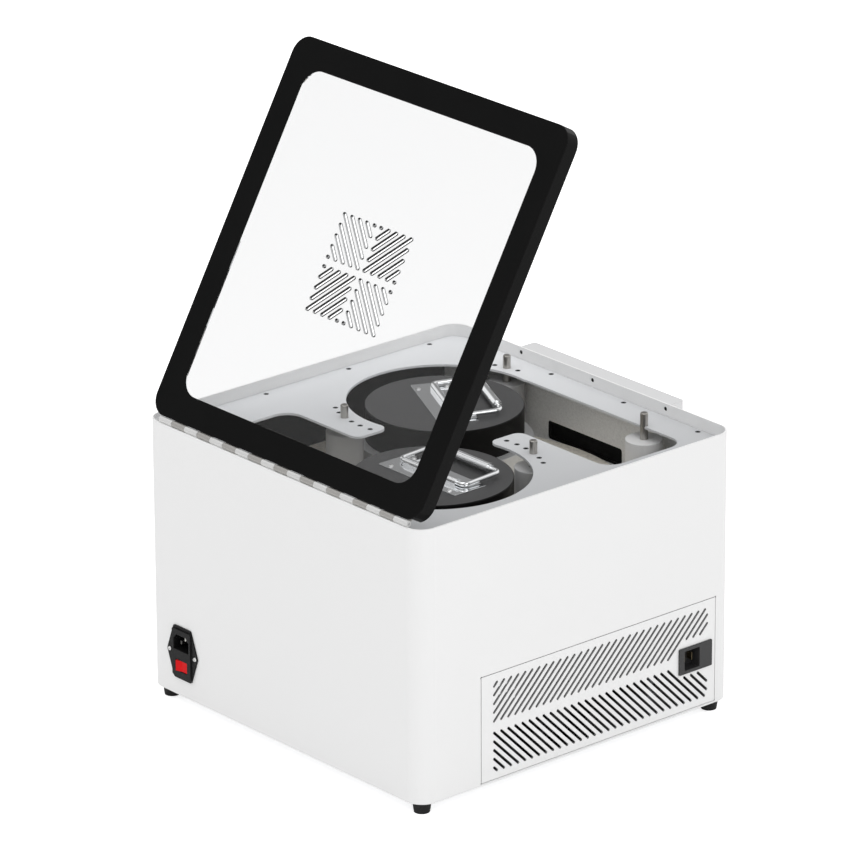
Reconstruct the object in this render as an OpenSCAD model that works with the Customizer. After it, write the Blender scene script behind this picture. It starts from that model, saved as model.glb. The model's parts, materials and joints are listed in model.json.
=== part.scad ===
// Dry block heater for a laboratory bench: a sheet-metal cabinet with two heating blocks under
// insulated covers, a clear hinged lid, a mains inlet at the rear and a control box at the front.
// Z = 0 is the surface it stands on, -Y is the front, and X = Y = 0 is the middle of the cabinet.

/* [Cabinet] */
// Width of the cabinet
cabinet_w = 420; // [416:1:470]
// Depth of the cabinet
cabinet_d = 415.5; // [412:0.5:465]
// Height of the cabinet wall, from its bottom edge to the rim
cabinet_h = 287.5; // [270:0.5:340]
// Outer radius of the upright corners
corner_r = 20; // [14:1:26]
// Thickness of the cabinet sheet
wall = 2; // [1.5:0.1:2.4]
// Running and fitting clearance between loose pieces
clear = 0.3; // [0.2:0.05:0.4]
// Width of the rails that carry the deck
rail_w = 8; // [7.6:0.1:9]
// Height of the rails
rail_h = 12; // [8:1:20]

/* [Feet] */
// Height of a foot
foot_h = 13.2; // [6:0.1:16]
// Diameter of a foot at the cabinet
foot_d = 20; // [16:1:26]
// Diameter of a foot where it stands
foot_tip_d = 16; // [10:1:16]
// Distance of a foot's centre from the outer faces
foot_inset = 16.5; // [15:0.5:24]

/* [Deck] */
// Depth of the deck below the rim
deck_drop = 13; // [11.5:0.5:20]
// Thickness of the deck
deck_t = 2.5; // [1.5:0.5:4]
// Radius of the two round openings
hole_r = 97.8; // [94:0.2:99]
// Distance of the round openings' middles from the blocks' middles, sideways
hole_shift_x = 3; // [1:0.1:5]
// Distance of the round openings' middles from the blocks' middles, fore and aft
hole_shift_y = 1; // [0:0.1:3]
// Distance of the slots' outer edges from the cabinet's face
slot_inset = 38.45; // [36:0.05:42]
// Width of the web between the inner rods and a slot
slot_web = 28.7; // [22:0.1:34]
// Reach of the front slot towards the vented side
slot_a_reach = 178; // [150:1:184]
// Reach of the rear slot towards the other side
slot_b_reach = 151; // [146:1:184]
// Corner radius of the slots
slot_r = 19; // [6:1:22]
// Distance of a tab's tip from its block's middle, sideways
tab_run = 25; // [22:0.1:28]
// Corner radius of the tab tips
tab_r = 10; // [4:1:16]
// Distance of the last deck screw of a row from the side faces
deck_screw_end_x = 45.75; // [42:0.25:60]
// Distance of the last deck screw of a row from the front and rear faces
deck_screw_end_y = 43.5; // [42:0.25:60]
// Distance of the deck screws from the outer faces
deck_screw_inset = 8.2; // [8:0.1:8.4]
// Head diameter of the deck screws
deck_screw_head_d = 5.4; // [4:0.1:6]

/* [Rods and pillars] */
// Diameter of the locating rods
rod_d = 8; // [5:0.5:9]
// Height of the rods above the deck
rod_rise = 13.7; // [8:0.1:14]
// Diameter of the pillars that hold the rods
pillar_d = 38; // [28:1:39]
// Depth of the pillar tops below the deck top
pillar_drop = 14.4; // [8:0.1:20]
// Radius of the hole circle round each block
station_r = 111.6; // [110.4:0.1:113]
// Angle of the rods on that circle
rod_angle = 14.4; // [12:0.1:17]
// Angle from hole to hole
station_pitch = 7.35; // [7:0.05:9]
// Sideways place of the two corner rods
corner_rod_x = 115.4; // [108:0.1:120]
// Distance of the two corner rods from the front and rear faces
corner_rod_inset = 36.05; // [33:0.05:37]

/* [Heating blocks] */
// Distance of the blocks' middles from the front and rear faces
block_inset = 137.55; // [136:0.05:139]
// Distance between the middles of the two blocks
block_pitch = 200.12; // [198:0.02:203]
// Diameter of a block
block_d = 180; // [172:1:182]
// Height of a block
block_h = 25; // [22:1:28]
// Thickness of the heater mat
heater_t = 3; // [1:0.5:5]
// Diameter of a tube well
well_d = 29; // [16:0.5:34]
// Depth of a tube well
well_depth = 20; // [12:1:21]
// Number of tube wells in a block
well_n = 5; // [3:1:6]
// Radius of the ring of wells
well_ring_r = 52; // [46:1:56]
// Diameter of a temperature probe
probe_d = 4; // [3:0.5:6]
// Length of a temperature probe inside its block
probe_l = 30; // [20:1:34]

/* [Covers] */
// Diameter of a cover
cover_d = 161; // [156:0.5:166]
// Height of a cover
cover_h = 34.6; // [30:0.2:40]
// Wall of a cover
cover_wall = 5; // [4:0.5:6]
// Top plate of a cover
cover_top_t = 8; // [7:0.5:10]
// Depth of the cover tops below the deck top
cover_drop = 4.4; // [4:0.1:8]

/* [Cover handles] */
// Turn of the first cover's handle
handle_turn_a = -26; // [-45:1:45]
// Turn of the second cover's handle
handle_turn_b = 0; // [-45:1:45]
// Length of the handle plate
plate_w = 113; // [108:0.5:118]
// Depth of the handle plate
plate_d = 40.5; // [34:0.5:46]
// Thickness of the handle plate
plate_t = 1.2; // [0.8:0.1:2]
// Length of the bead that holds the bail
bead_l = 76; // [50:1:80]
// Width of the bail between its arm centres
bail_w = 95; // [92:0.5:99]
// Reach of the bail from its pivot to the grip
bail_reach = 46; // [38:0.5:50]
// Diameter of the bail wire
bail_d = 5; // [4:0.1:5.4]
// Bend radius of the bail wire
bail_bend_r = 6; // [5:0.5:8]
// Angle of the bail at rest
bail_rest = 2.5; // [2:0.5:5]
// Diameter of the grip tube
grip_d = 10; // [9:0.5:10.5]
// Length of the grip tube
grip_l = 74; // [50:1:78]
// Spacing of the handle screws along the plate
handle_screw_w = 86.4; // [84:0.2:100]
// Spacing of the handle screws across the plate
handle_screw_d = 30; // [22:1:32]
// Head diameter of the handle screws
handle_screw_head_d = 5; // [3:0.1:6]

/* [Chamber] */
// Thickness of the chamber sheet
liner_t = 1; // [0.8:0.1:1.4]
// Thickness of the chamber floor
floor_t = 2; // [1:0.5:4]
// Thickness of the insulation disc
insulation_t = 5; // [3:0.5:10]
// Gap from the insulation to the chamber's side walls
insulation_gap_x = 3.7; // [1:0.1:12]
// Gap from the insulation to the chamber's front and rear walls
insulation_gap_y = 1.45; // [1:0.05:12]
// Thickness of the foam on the chamber walls
foam_t = 4; // [2:0.5:4]
// Width of the duct window in the front of the chamber
duct_w = 112; // [80:1:120]
// Height of the duct window
duct_h = 20; // [12:1:22]
// Depth of the duct window's top edge below the rim
duct_drop = 62.7; // [56:0.1:64]
// Diameter of the posts under the chamber
post_d = 12; // [8:1:20]
// Distance of the posts from the middle
post_reach = 150; // [145:1:155]

/* [Lid] */
// Distance of the lid's sides from the cabinet's side faces
lid_side_inset = 6; // [5:0.25:8]
// Distance of the closed lid's front edge from the cabinet's front face
lid_front_inset = 3.3; // [2.9:0.1:6]
// Angle of the open lid
lid_open = 60.5; // [40:0.5:80]
// Depth of the lid's skirt
lid_skirt = 15; // [8:0.5:15.5]
// Thickness of the lid frame
lid_t = 2.5; // [2:0.1:2.6]
// Corner radius of the lid
lid_r = 20; // [18:1:26]
// Width of the lid's border at the front and sides
border = 29.6; // [26:0.1:36]
// Distance of the window from the hinge axis
hinge_border = 32; // [28:0.5:42]
// Sideways place of the window
window_shift = -1.75; // [-4:0.25:4]
// Corner radius of the window
window_r = 22; // [12:1:40]
// Thickness of the window's flange under the border
flange_t = 1; // [0.6:0.1:1.2]
// Overlap of the window's flange under the border
flange_w = 6; // [3:0.5:10]
// Width of the vent slots in the window
vent_w = 4; // [2:0.1:5]
// Spacing of the vent slots
vent_pitch = 11.25; // [9:0.25:12]
// Distance of the slots from the middle of the pattern
vent_gap = 5; // [4:0.5:8]
// Sideways place of the pattern
vent_x = -2.5; // [-20:0.5:20]
// Distance of the pattern's middle from the lid's middle
vent_shift = 1.05; // [-20:0.05:20]
// Diameter of the strut studs inside the skirt
stud_d = 5; // [3:0.5:5]
// Length of a strut stud
stud_l = 14; // [8:1:20]

/* [Hinge] */
// Diameter of a knuckle
knuckle_d = 6.2; // [5.6:0.1:6.4]
// Distance of the hinge's ends from the cabinet's side faces
hinge_end = 20.65; // [14:0.05:60]
// Sideways place of the hinge
hinge_shift = -2.5; // [-5:0.5:5]
// Number of knuckles
knuckle_n = 19; // [11:2:19]
// Gap between knuckles
knuckle_gap = 0.4; // [0.2:0.1:1]
// Diameter of the hinge pin
pin_d = 2.4; // [2:0.1:3]
// Thickness of the hinge leaves
leaf_t = 1.2; // [0.8:0.1:1.2]
// Width of the lid's leaf
leaf_w = 17; // [12:1:24]
// Height of the cabinet's leaf below the rim
leaf_drop = 11; // [6:0.5:12]

/* [Mains inlet] */
// Distance of the inlet's middle from the cabinet's side face
inlet_inset = 56; // [50:0.5:70]
// Height of the inlet above the cabinet's bottom edge
inlet_z = 47.5; // [40:0.5:80]
// Width of the flange, point to point
inlet_w = 47.5; // [46:0.5:54]
// Width of the flange's top and bottom edges
inlet_edge_w = 29; // [28:0.5:36]
// Height of the flange
inlet_h = 57; // [54:0.5:62]
// Spacing of the inlet screws
inlet_screw_pitch = 40; // [39:0.5:42]
// Thickness of the flange
inlet_flange_t = 1.5; // [1.2:0.1:4]
// Height of the raised middle above the flange
inlet_rise = 1.5; // [1:0.5:5]
// Width of the body behind the wall
inlet_body_w = 27; // [26:0.5:28]
// Depth of the body behind the flange
inlet_body_depth = 24; // [20:1:40]
// Width of the rocker
rocker_w = 15.5; // [12:0.5:18]
// Height of the rocker
rocker_h = 11.4; // [10:0.2:14]
// Tilt of the rocker at rest
rocker_tilt = 8; // [4:1:10]

/* [Vent panel] */
// Distance of the panel's front edge from the cabinet's front face
panel_front = 24.75; // [23:0.25:34]
// Height of the vent panel
panel_h = 112.2; // [106:0.2:118]
// Distance of the panel's rear edge from the cabinet's rear face
panel_back = 79.25; // [72:0.25:88]
// Height of the panel above the cabinet's bottom edge
panel_lift = 2.7; // [2.5:0.1:6]
// Gap round the panel
panel_gap = 0.6; // [0.4:0.1:1.2]
// Thickness of the flange behind the panel
panel_t = 1.5; // [1:0.1:2]
// Width of the flange behind the panel
panel_flange = 6; // [5:0.5:6]
// Width of the panel's slots
slit_w = 2.8; // [1.6:0.1:4]
// Spacing of the panel's slots
slit_pitch = 9.25; // [7:0.25:12]
// Diameter of the studs behind the panel
panel_stud_d = 3; // [2:0.1:3.4]

/* [Side socket] */
// Distance of the socket's middle from the panel's front edge
socket_inset = 27.3; // [25:0.1:41]
// Height of the socket's middle above the panel's lower edge
socket_rise = 54.5; // [48:0.5:62]
// Length of the socket
socket_w = 44.5; // [40:0.5:46]
// Height of the socket
socket_h = 28; // [24:0.5:34]
// Length of the socket's recess
recess_w = 20.5; // [16:0.5:24]
// Height of the socket's recess
recess_h = 21; // [14:0.5:22]
// Clear space round the socket in the slot pattern
socket_margin = 9; // [6:0.5:14]

/* [Fan] */
// Size of the square fan
fan_size = 80; // [60:1:84]
// Thickness of the fan
fan_t = 25; // [20:1:30]
// Number of fan blades
fan_blades = 7; // [5:1:9]
// Diameter of the fan's axle
fan_axle_d = 4; // [3:0.5:6]

/* [Control box] */
// Width of the control box
box_w = 226; // [218:1:240]
// Depth of the control box
box_depth = 21.5; // [18:0.5:28]
// Height of the control box
box_h = 118; // [104:1:150]
// Depth of the box's top below the rim
box_drop = 1.5; // [1:0.5:4]
// Radius of the box's upright corners
box_r = 4; // [3.5:0.5:12]
// Wall of the control box
box_wall = 2.5; // [1.5:0.1:3]
// Width of the fascia
fascia_w = 190; // [180:1:194]
// Height of the fascia
fascia_h = 94; // [88:1:98]
// Width of the display
display_w = 84; // [70:1:90]
// Height of the display
display_h = 54; // [40:1:60]
// Size of a key
key_size = 16; // [10:0.5:18]
// Spacing of the keys
key_pitch = 26; // [21:0.5:28]
// Travel of a key
key_travel = 1.2; // [0.6:0.1:1.5]
// Distance of the outer two screws that hold the box from its ends
rim_screw_inset = 4; // [4:0.5:20]
// Sideways place of the middle one
rim_screw_x = -1; // [-1:0.5:1]
// Height of these screws below the rim
rim_screw_drop = 5.6; // [4:0.1:7]

/* [Hidden] */
$fn = 48;
round_fn = 128;
eps = 0.01;

// heights, from the bench up
base_t = 2;
base_z = foot_h;
base_top = base_z + base_t;
rim_z = foot_h + cabinet_h;
deck_top = rim_z - deck_drop;
deck_under = deck_top - deck_t;
cover_top = deck_top - cover_drop;
block_top = cover_top - cover_h;
heater_top = block_top - block_h;
insulation_top = heater_top - heater_t;
floor_top = insulation_top - insulation_t;
floor_under = floor_top - floor_t;
pillar_top = deck_top - pillar_drop;
rod_top = deck_top + rod_rise;

// plan sizes
inner_w = cabinet_w - 2 * wall;
inner_d = cabinet_d - 2 * wall;
inner_r = corner_r - wall;
liner_w = inner_w - 2 * rail_w - 2 * clear;
liner_d = inner_d - 2 * rail_w - 2 * clear;
liner_r = inner_r;
chamber_w = liner_w - 2 * liner_t;
chamber_d = liner_d - 2 * liner_t;
foot_x = cabinet_w / 2 - foot_inset;
foot_y = cabinet_d / 2 - foot_inset;
insulation_w = chamber_w - 2 * insulation_gap_x;
insulation_l = chamber_d - 2 * insulation_gap_y;
insulation_r = min(insulation_w, insulation_l) / 2 - 1;
deck_screw_x = cabinet_w / 2 - deck_screw_inset;
deck_screw_y = cabinet_d / 2 - deck_screw_inset;
deck_screw_run_x = (cabinet_w - 2 * deck_screw_end_x) / 3;
deck_screw_run_y = (cabinet_d - 2 * deck_screw_end_y) / 3;
deck_screw_head_h = 1.1;
deck_screw_shank_d = 2.4;
foot_web = 4;
foot_screw_d = 4;
foot_screw_head_d = 8;
foot_screw_head_h = 2.6;
foot_screw_nut_h = 3;
rod_clear = 0.1;
pin_clear = 0.05;
cover_seat = 0.02;

// the blocks stand on a slant, one the first turned half a turn about the middle; the
// openings, tabs, slots and rods keep their places from the blocks and from the walls
block_y = cabinet_d / 2 - block_inset;
block_x = sqrt(pow(block_pitch / 2, 2) - pow(block_y, 2));
hole_x = block_x + hole_shift_x;
hole_y = block_y + hole_shift_y;
tab_reach = block_x - tab_run;
slot_in = station_r * cos(rod_angle) - block_y + slot_web;
slot_out = cabinet_d / 2 - slot_inset;
corner_rod_y = cabinet_d / 2 - corner_rod_inset;

// hinge and lid
hinge_y = cabinet_d / 2 - knuckle_d / 2;
hinge_z = rim_z + knuckle_d / 2;
hinge_l = cabinet_w - 2 * hinge_end;
knuckle_l = hinge_l / knuckle_n;
leaf_half = min(hinge_l / 2, inner_w / 2 - inner_r - abs(hinge_shift));
lid_w = cabinet_w - 2 * lid_side_inset;
lid_reach = hinge_y + cabinet_d / 2 - lid_front_inset;
lid_top = 2.04;
lid_rear = knuckle_d / 2 + 0.4;
frame_under = lid_top - lid_t;
leaf_under = frame_under - leaf_t;
window_under = frame_under - flange_t;
window_x = lid_w / 2 - border;
window_s0 = hinge_border;
window_s1 = lid_reach - border;
vent_s = lid_reach / 2 + vent_shift;
vent_steps = 4;
stud_s = lid_reach / 2 - 1.3;
stud_z = lid_top - lid_skirt + stud_d / 2;

// cover handles
bail_clear = 0.06;
bail_lift = 0.3;
bail_pivot_z = plate_t + bail_d / 2 + bail_lift;
bead_d = bail_d + 3;
handle_screw_shank_d = 2.6;
handle_screw_grip = 6;

// mains inlet
inlet_x = cabinet_w / 2 - inlet_inset;
inlet_y = cabinet_d / 2;
inlet_cz = base_z + inlet_z;
inlet_face = inlet_flange_t + inlet_rise;
inlet_body_h = 47;
inlet_block_h = 51;
plug_w = 24;
plug_h = 16.5;
plug_depth = 17;
plug_lift = 11.5;
plug_chamfer = 5;
pin_reach = 11;
rocker_drop = 13.5;
rocker_edge = 1.3;
rocker_depth = 15;
rocker_pivot = 5;
rocker_pin_d = 3;
inlet_screw_head_d = 4.6;
inlet_screw_head_h = 1;

// vent panel and side socket, with the panel's own plane seen from outside:
// run goes from its rear edge to its front edge, rise goes up from its lower edge
panel_x = -cabinet_w / 2;
panel_z = base_z + panel_lift;
panel_rear = cabinet_d / 2 - panel_back;
panel_l = cabinet_d - panel_back - panel_front;
socket_run = panel_l - socket_inset;
zone_rear = 16.6;
zone_front = 11;
zone_low = 8.7;
zone_h = 40.6;
zone_mid = 12.5;
stud_inset = 3;
keep_rear = socket_run - socket_w / 2 - socket_margin;
keep_low = socket_rise - socket_h / 2 - 4;
keep_high = socket_rise + socket_h / 2 + socket_margin;
slit_min = 3.2;
relief_d = 2.4;
socket_face = 1.6;
socket_depth = 22;
socket_lip = 2.5;
recess_depth = 13;
recess_shift = 5;

// fan behind the vent panel
fan_y = 10;
fan_z = base_top + fan_size / 2 + 4;
fan_x = panel_x + wall + panel_t + 8;
fan_hub_d = 30;
fan_bore_r = fan_size / 2 - 2;
fan_blade_t = 1.4;
fan_blade_tilt = 35;
bracket_t = 1.5;
bracket_foot = 22;

// electronics on the base plate
supply_at = [60, 70];
supply_size = [98, 159, 40];
board_front = 107.75;
board_at = [-60, board_front - cabinet_d / 2];
board_size = [150, 100];
board_t = 1.6;
board_lift = 8;
board_hole_inset = 7;
board_hole_d = 3.2;
transformer_at = [-32, -16];
transformer_size = [36, 28, 22];
chip_size = 16;
chip_t = 2;
capacitor_d = 10;
capacitor_h = 18;
capacitor_pitch = 14;
relay_front = 127.75;
relay_at = [70, relay_front - cabinet_d / 2];
relay_pitch = 54;
relay_base = [45, 58];
relay_base_t = 3;
relay_body = [45, 40];
relay_h = 22;

// control box
box_y = -cabinet_d / 2;
box_front = box_y - box_depth;
box_top = rim_z - box_drop;
box_mid_z = box_top - box_h / 2;
fascia_t = 2;
display_inset = 15;
display_flange = 3;
display_x = display_w / 2 + display_inset - fascia_w / 2;
key_proud = 1.4;
key_flange = 1.5;
key_flange_t = 1;
key_inset = 51;
key_x = fascia_w / 2 - key_inset;
key_clear = 0.25;
key_board_t = 1.6;
key_board_y = box_front + fascia_t + key_flange_t + key_travel + 2;
rim_screw_pitch = box_w / 2 - rim_screw_inset;
rim_screw_d = 4.2;
rim_screw_shank_d = 3;

module rounded_rect(w, d, r) {
    square([w - 2 * r, d], center = true);
    square([w, d - 2 * r], center = true);
    for (sx = [-1, 1], sy = [-1, 1])
        translate([sx * (w / 2 - r), sy * (d / 2 - r)]) circle(r, $fn = round_fn);
}

module rounded_block(w, d, h, r) {
    linear_extrude(h) rounded_rect(w, d, r);
}

module rounded_ring(w, d, h, r, t) {
    linear_extrude(h) difference() {
        rounded_rect(w, d, r);
        rounded_rect(w - 2 * t, d - 2 * t, r - t);
    }
}

module corners(x, y) {
    for (sx = [-1, 1], sy = [-1, 1]) translate([sx * x, sy * y, 0]) children();
}

// a copy as drawn and one turned half a turn about the middle of the cabinet
module both_turns() {
    children();
    rotate(180) children();
}

// ---- cabinet ----

// places children on the vented side: X runs forward along the panel, Y up, Z out of the wall
module on_panel() {
    translate([panel_x, panel_rear, panel_z]) rotate([90, 0, -90]) children();
}

module panel_rect(grow) {
    translate([-grow, -grow]) square([panel_l + 2 * grow, panel_h + 2 * grow]);
}

module cabinet_shell() {
    color("white") difference() {
        union() {
            translate([0, 0, base_z]) rounded_ring(cabinet_w, cabinet_d, cabinet_h, corner_r, wall);
            on_panel() translate([0, 0, -wall - panel_t]) linear_extrude(panel_t + eps)
                intersection() {
                    panel_rect(panel_flange);
                    translate([-panel_flange, panel_gap - panel_lift + base_t])
                        square([panel_l + 2 * panel_flange, panel_h + panel_flange]);
                }
        }
        on_panel() translate([0, 0, -wall]) linear_extrude(wall + 1) panel_rect(panel_gap);
        on_panel() translate([0, 0, -wall - panel_t - 1]) linear_extrude(panel_t + 2)
            panel_rect(-panel_flange);
        on_panel() panel_stud_places() translate([0, 0, -wall - panel_t - 1])
            cylinder(d = panel_stud_d + 0.4, h = panel_t + 2);
        on_panel() for (u = [0, panel_l], v = [0, panel_h]) translate([u, v, -wall])
            cylinder(d = relief_d, h = wall + 1);
        on_inlet() translate([0, 0, -wall - 1]) linear_extrude(wall + 2)
            rounded_rect(inlet_body_w + 1, inlet_body_h + 1, 1.5);
        on_inlet() inlet_screw_places() translate([0, 0, -wall - 1])
            cylinder(d = 3.4, h = wall + 2);
        rim_screw_places() {
            translate([0, 0, -wall]) cylinder(d = rim_screw_d + 0.2, h = wall + 0.2);
            cylinder(d = rim_screw_shank_d + 0.2, h = wall);
        }
        translate([-20, box_y - 1, box_top - box_h + 6]) cube([40, wall + 2, 20]);
    }
}

module base_plate() {
    base_w = inner_w - 2 * clear;
    base_d = inner_d - 2 * clear;
    color("gainsboro") difference() {
        translate([0, 0, base_z]) rounded_block(base_w, base_d, base_t, inner_r - clear);
        corners(foot_x, foot_y) translate([0, 0, base_z - 1])
            cylinder(d = foot_screw_d + 0.2, h = base_t + 2);
        for (i = [-4 : 4]) translate([i * 16 - 20, -60, base_z - 1])
            rounded_block(6, 60, base_t + 2, 2.9);
    }
}

module feet() {
    color("dimgray") corners(foot_x, foot_y) difference() {
        cylinder(d1 = foot_tip_d, d2 = foot_d, h = foot_h, $fn = round_fn);
        translate([0, 0, -1]) cylinder(d = foot_screw_head_d + 0.4, h = foot_h - foot_web + 1);
        translate([0, 0, -1]) cylinder(d = foot_screw_d + 0.2, h = foot_h + 2);
    }
}

module foot_screws() {
    head_z = foot_h - foot_web - foot_screw_head_h;
    color("silver") corners(foot_x, foot_y) {
        translate([0, 0, head_z]) cylinder(d = foot_screw_head_d, h = foot_screw_head_h);
        translate([0, 0, head_z + eps])
            cylinder(d = foot_screw_d, h = base_top - head_z + 2 * foot_screw_nut_h);
        translate([0, 0, base_top]) cylinder(d = 2 * foot_screw_d, h = foot_screw_nut_h, $fn = 6);
    }
}

// angle rails spot-welded to the walls, under the edge of the deck
module deck_rails() {
    rail_x = inner_w / 2 - inner_r - 4;
    rail_y = inner_d / 2 - inner_r - 4;
    color("gainsboro") difference() {
        union() {
            for (s = [-1, 1]) {
                rotate([0, 0, 90 + 90 * s]) rail(inner_d / 2, rail_x);
                rotate([0, 0, 90 * s]) rail(inner_w / 2, rail_y);
            }
        }
        deck_screw_places() translate([0, 0, deck_under - 4])
            cylinder(d = deck_screw_shank_d + 0.2, h = 5);
    }
}

module rail(reach, half) {
    translate([-half, reach - rail_w, deck_under - 2]) cube([2 * half, rail_w, 2]);
    translate([-half, reach - 2, deck_under - rail_h]) cube([2 * half, 2, rail_h - 2 + eps]);
}

module deck_screw_places() {
    for (i = [-1.5 : 1 : 1.5], s = [-1, 1]) {
        translate([i * deck_screw_run_x, s * deck_screw_y, 0]) children();
        translate([s * deck_screw_x, i * deck_screw_run_y, 0]) children();
    }
}

// ---- deck ----

// the pocket left outside a tab's rounded corner at its slot
module tab_slot_corner() {
    difference() {
        translate([-eps, -eps]) square(tab_r + eps);
        translate([tab_r, tab_r]) circle(tab_r, $fn = round_fn);
    }
}

// the same at its round opening, where the rounding runs on into the opening's edge
module tab_hole_corner() {
    run = hole_x - tab_reach - tab_r;
    rise = sqrt(pow(hole_r + tab_r, 2) - run * run);
    translate([0, -hole_y]) difference() {
        square([hole_x - tab_reach - run * hole_r / (hole_r + tab_r), rise]);
        translate([tab_r, rise]) circle(tab_r, $fn = round_fn);
    }
}

module deck_half_opening(reach) {
    translate([hole_x, -hole_y]) circle(hole_r, $fn = round_fn);
    translate([(hole_x - reach) / 2, -(slot_out + slot_in) / 2])
        rounded_rect(hole_x + reach, slot_out - slot_in, slot_r);
}

module deck_opening() {
    deck_half_opening(slot_a_reach);
    rotate(180) deck_half_opening(slot_b_reach);
    square([2 * tab_reach, 2 * slot_in], center = true);
    for (t = [0, 180]) rotate(t) {
        translate([tab_reach - eps, 0]) tab_hole_corner();
        translate([tab_reach, slot_in]) mirror([0, 1]) tab_slot_corner();
    }
}

// children at a step of the hole circle round the first block; side is 1 or -1 in Y
module on_station(step, side) {
    angle = rod_angle + step * station_pitch;
    translate([block_x + station_r * sin(angle), -block_y + side * station_r * cos(angle), 0])
        children();
}

module rod_places() {
    both_turns() {
        on_station(0, 1) children();
        on_station(0, -1) children();
        translate([corner_rod_x, corner_rod_y, 0]) children();
    }
}

module station_screw_places() {
    both_turns() {
        for (step = [-3, -2, -1, 1, 2]) on_station(step, 1) children();
        for (step = [-1, 1]) on_station(step, -1) children();
    }
}

// a countersunk hole, or with no clearance the screw that fills it
module deck_screw_hole(gap) {
    translate([0, 0, deck_under - 1]) cylinder(d = deck_screw_shank_d + 2 * gap, h = deck_t + 2);
    translate([0, 0, deck_top - deck_screw_head_h - 0.1]) cylinder(d = deck_screw_head_d + gap, h = 2);
}

module deck_plate() {
    color("lightsteelblue") difference() {
        translate([0, 0, deck_under])
            rounded_block(inner_w - 2 * clear, inner_d - 2 * clear, deck_t, inner_r - clear);
        translate([0, 0, deck_under - 1]) linear_extrude(deck_t + 2) deck_opening();
        rod_places() translate([0, 0, deck_under - 1])
            cylinder(d = rod_d + 2 * rod_clear, h = deck_t + 2);
        deck_screw_places() deck_screw_hole(0.2);
        station_screw_places() deck_screw_hole(0.2);
    }
}

// reach is how far the screw goes below the deck
module deck_screw(reach) {
    head_z = deck_top - deck_screw_head_h - 0.1;
    difference() {
        union() {
            translate([0, 0, head_z]) cylinder(d = deck_screw_head_d, h = deck_screw_head_h);
            translate([0, 0, deck_under - reach])
                cylinder(d = deck_screw_shank_d, h = head_z - deck_under + reach + 0.5);
        }
        translate([0, 0, deck_top - 0.7]) cylinder(d = deck_screw_head_d / 2.4, h = 2, $fn = 6);
    }
}

module deck_screws() {
    color("dimgray") {
        deck_screw_places() deck_screw(3);
        station_screw_places() deck_screw(1.5);
    }
}

// ---- chamber ----

module chamber_liner() {
    color("darkgray") difference() {
        translate([0, 0, floor_under])
            rounded_ring(liner_w, liner_d, deck_under - floor_under, liner_r, liner_t);
        translate([0, -liner_d / 2, rim_z - duct_drop - duct_h / 2]) rotate([90, 0, 0])
            translate([0, 0, -liner_t - 1]) rounded_block(duct_w, duct_h, liner_t + 2, 3);
        translate([0, liner_d / 2, floor_top + 14]) rotate([90, 0, 0])
            cylinder(d = 12, h = 8, center = true);
    }
}

module chamber_floor() {
    color("darkgray") difference() {
        translate([0, 0, floor_under])
            rounded_block(chamber_w - 0.2, chamber_d - 0.2, floor_t, liner_r - liner_t - 0.1);
        translate([0, 0, floor_under - 1]) cylinder(d = 16, h = floor_t + 2);
    }
}

module chamber_posts() {
    color("silver") corners(post_reach, post_reach) {
        translate([0, 0, base_top]) cylinder(d = post_d, h = floor_under - base_top);
        translate([0, 0, base_top]) cylinder(d = post_d + 10, h = 3);
    }
}

module wall_foam() {
    foam_l = chamber_d - 2 * liner_r;
    color([0.09, 0.09, 0.09]) for (s = [-1, 1])
        translate([s * (chamber_w / 2 - foam_t / 2) - foam_t / 2, -foam_l / 2, insulation_top])
            cube([foam_t, foam_l, deck_under - insulation_top - clear]);
}

module duct_foam() {
    depth = inner_d / 2 - liner_d / 2;
    color([0.07, 0.07, 0.07]) difference() {
        translate([0, -liner_d / 2, rim_z - duct_drop - duct_h / 2]) rotate([90, 0, 0])
            rounded_block(duct_w + 6, duct_h + 4, depth, 2);
        translate([0, -liner_d / 2, rim_z - duct_drop - duct_h / 2]) rotate([90, 0, 0])
            translate([0, 0, -1]) rounded_block(duct_w - 8, duct_h - 6, 4, 2);
    }
}

module insulation_disc() {
    color("tan") difference() {
        translate([0, 0, floor_top])
            rounded_block(insulation_w, insulation_l, insulation_t, insulation_r);
        rod_places() translate([0, 0, floor_top - 1])
            cylinder(d = pillar_d + 2 * clear, h = insulation_t + 2);
        translate([0, 0, floor_top - 1]) cylinder(d = 14, h = insulation_t + 2);
    }
}

module block_place() {
    translate([block_x, -block_y, 0]) children();
}

module heater_mats() {
    color("orangered") both_turns() block_place() translate([0, 0, insulation_top])
        cylinder(d = block_d - 12, h = heater_t, $fn = round_fn);
}

module heating_block() {
    difference() {
        translate([0, 0, heater_top]) cylinder(d = block_d, h = block_h, $fn = round_fn);
        for (i = [0 : well_n - 1]) rotate(i * 360 / well_n) translate([0, well_ring_r, 0])
            translate([0, 0, block_top - well_depth]) cylinder(d = well_d, h = well_depth + 1);
        probe_place() translate([0, 0, -1]) cylinder(d = probe_d + 0.2, h = probe_l + 1.5);
    }
}

// a probe's hole runs in from the rim of the block, between two wells
module probe_place() {
    rotate(180 / well_n) translate([0, block_d / 2, heater_top + block_h / 2])
        rotate([90, 0, 0]) children();
}

module heating_block_a() {
    color("silver") block_place() heating_block();
}

module heating_block_b() {
    color("silver") rotate(180) block_place() heating_block();
}

module temperature_probes() {
    color("silver") both_turns() block_place() probe_place() {
        translate([0, 0, -2]) cylinder(d = probe_d, h = probe_l + 2);
        translate([0, 0, -2]) cylinder(d = probe_d + 2, h = 2);
    }
}

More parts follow.
